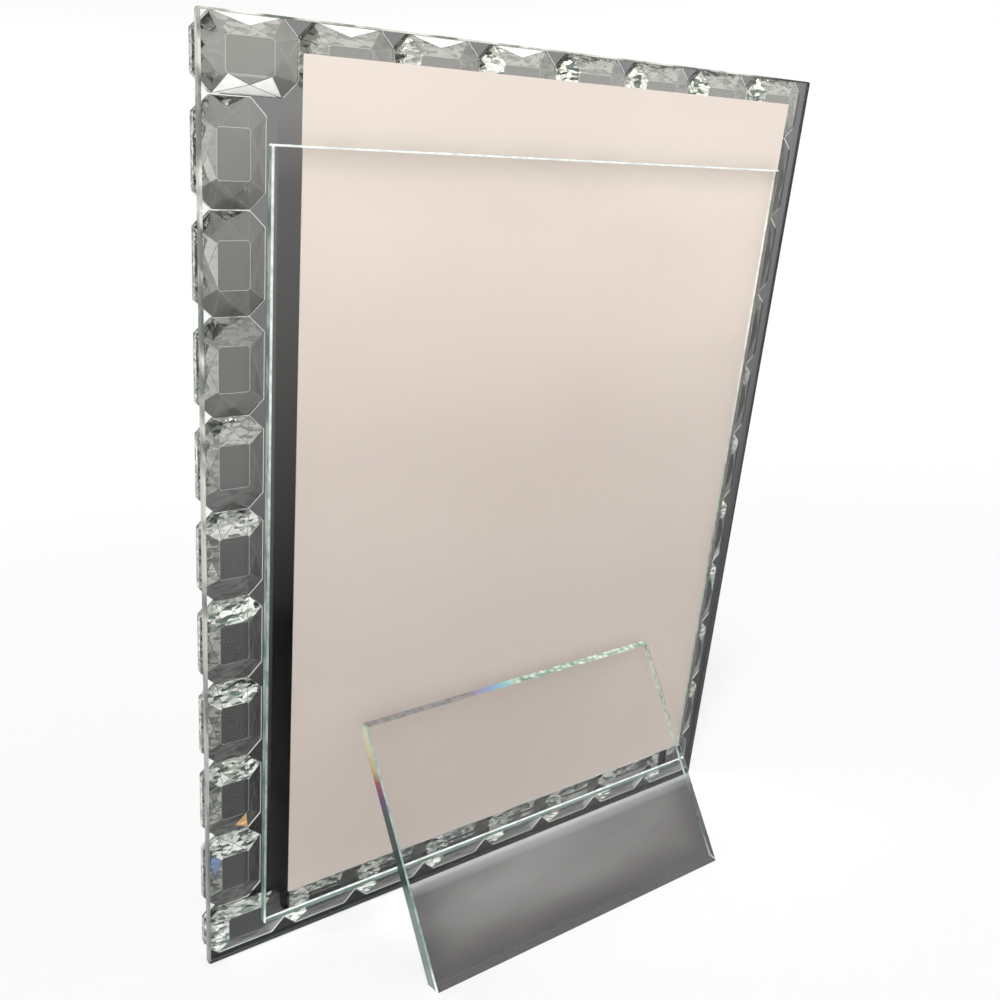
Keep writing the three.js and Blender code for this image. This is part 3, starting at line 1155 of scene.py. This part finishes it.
def floor_finish():
    material, tree, _ = plain_finish("pale_floor")
    tree.nodes.clear()
    away = add(tree, "VectorMath", {0: here_on(tree)}, operation="LENGTH").outputs["Value"]
    far = rise(tree, away, *TURNS_WHITE, smooth=True)
    pale = add(tree, "BsdfDiffuse", {"Color": grey(0.92)})
    white = add(tree, "Emission", {"Color": grey(1.0), "Strength": 1.0})
    share = maths(tree, "MULTIPLY", maths(tree, "MAXIMUM", far, LEAST_WHITE), seen_directly(tree))
    both = add(tree, "MixShader", {0: share, 1: pale.outputs[0], 2: white.outputs[0]})
    add(tree, "OutputMaterial", {"Surface": both.outputs[0]})
    return material


bpy.ops.mesh.primitive_circle_add(vertices=96, radius=FLOOR_RADIUS, fill_type="NGON")
floor = bpy.context.object
floor.name = "floor"
floor.data.materials.append(floor_finish())
print("floor radius", FLOOR_RADIUS, "m")

# %% [markdown]
# ## The room
# The room is white at eye level and grey overhead, which gives the facets something dark to show
# beside the light. Diffuse light comes from a plainer, dimmer fill, so the object isn't flooded.

# %% Room
FILL_STRENGTH = 0.45


def white_room():
    world = bpy.data.worlds.new("white_room")
    bpy.context.scene.world = world
    world.use_nodes = True
    tree = world.node_tree
    tree.nodes.clear()
    direction = add(tree, "TexCoord").outputs["Generated"]
    up = add(tree, "SeparateXYZ", {0: direction}).outputs["Z"]
    room = ramp(tree, up, [(0.0, grey(1.0)), (0.25, grey(1.0)), (0.6, grey(0.45)), (1.0, grey(0.25))])
    white = add(tree, "Background", {"Color": room, "Strength": 1.0})
    fill_light = add(tree, "Background", {"Color": grey(1.0), "Strength": FILL_STRENGTH})
    both = add(tree, "MixShader", {0: seen_directly(tree), 1: fill_light.outputs[0], 2: white.outputs[0]})
    add(tree, "OutputWorld", {"Surface": both.outputs[0]})
    return world


print("world:", white_room().name)

# %% [markdown]
# ## The lamp
# One wide soft lamp stands behind the frame, high and to the side. A sun lamp with a large angle
# does that without falling off over the frame.

# %% Lamp
KEY_PLACE = Vector((0.62, 0.95, 1.15))
sun = bpy.data.lights.new("soft_key", "SUN")
sun.energy = 2.6
sun.angle = math.radians(20)
key = new_object("soft_key", sun)
key.rotation_euler = (-KEY_PLACE).to_track_quat("-Z", "Y").to_euler()
print("lamp at", round(sun.energy, 1), "W per square metre")

# %% [markdown]
# ## The camera
# The photographer stood behind the frame, a little to one side and just above its middle.
# The place and the lens were solved from the corners of the glass in the photograph.

# %% Camera
CAMERA_PLACE = Vector((0.2096, 0.28813, 0.19948))
LOOKS_AT = Vector((0.00371, -0.00274, 0.14038))
CAMERA_ROLL = math.radians(-3.294)
camera_data = bpy.data.cameras.new("camera")
camera_data.lens = 38.59
camera_data.sensor_width = 36.0
camera_data.clip_start = 10 * MM
camera = new_object("camera", camera_data)
camera.location = CAMERA_PLACE
aim = (LOOKS_AT - CAMERA_PLACE).to_track_quat("-Z", "Y")
camera.rotation_mode = "QUATERNION"
camera.rotation_quaternion = aim @ Quaternion((0, 0, 1), CAMERA_ROLL)
bpy.context.scene.camera = camera
bpy.context.scene.view_settings.view_transform = "Standard"
print("camera", round((LOOKS_AT - CAMERA_PLACE).length, 3), "m from the frame's middle")
